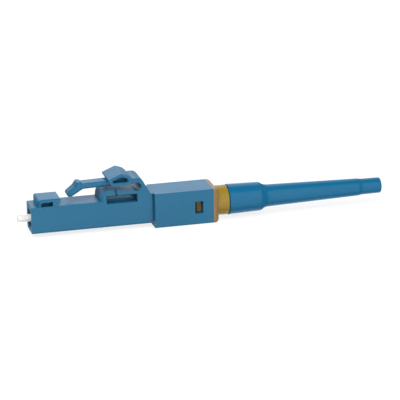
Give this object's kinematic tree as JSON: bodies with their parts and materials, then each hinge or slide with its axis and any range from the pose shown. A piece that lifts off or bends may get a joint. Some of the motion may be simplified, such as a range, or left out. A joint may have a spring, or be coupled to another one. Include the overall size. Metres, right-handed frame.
{
  "type": "lc fibre connector",
  "caption": "Small square-nosed fibre plug with a spring-loaded ceramic ferrule, a rear-rooted press latch with hollow lugs, and a long tapered boot.",
  "frame": {"origin": "on the ferrule axis, in the plane of the front face of the plug nose", "axes": "+X from the ferrule tip towards the cable, +Z towards the latch, +Y to the left when looking along +X"},
  "size_m": [0.062, 0.006, 0.0097],
  "materials": {
    "front_housing": "moulded PBT, blue, fine satin",
    "latch_lever": "moulded PBT, blue, fine satin",
    "rear_housing": "moulded PBT, blue, fine satin",
    "stop_body": "amber polyetherimide, slightly translucent",
    "ferrule": "ground zirconia",
    "ferrule_flange": "turned, nickel plated",
    "guide_tube": "extruded",
    "spring": "drawn wire",
    "crimp_sleeve": "nickel plated copper alloy",
    "boot": "soft moulded elastomer, satin"
  },
  "bodies": {
    "housing": {"front_housing": "front_housing", "rear_housing": "rear_housing", "stop_body": "stop_body", "crimp_sleeve": "crimp_sleeve", "boot": "boot", "spring": "spring"},
    "latch": {"latch_lever": "latch_lever"},
    "ferrule_group": {"ferrule": "ferrule", "ferrule_flange": "ferrule_flange", "guide_tube": "guide_tube"}
  },
  "joints": [
    {"name": "latch_press", "type": "hinge", "parent": "housing", "child": "latch", "pos_m": [0.01745, 0, 0.00539], "axis": [0, -1, 0], "range_deg": [0, 3], "stiffness_Nm_per_rad": 0.1},
    {"name": "ferrule_float", "type": "slide", "parent": "housing", "child": "ferrule_group", "axis": [1, 0, 0], "range_m": [0, 0.001], "stiffness_N_per_m": 900, "deforming": ["spring"]}
  ]
}
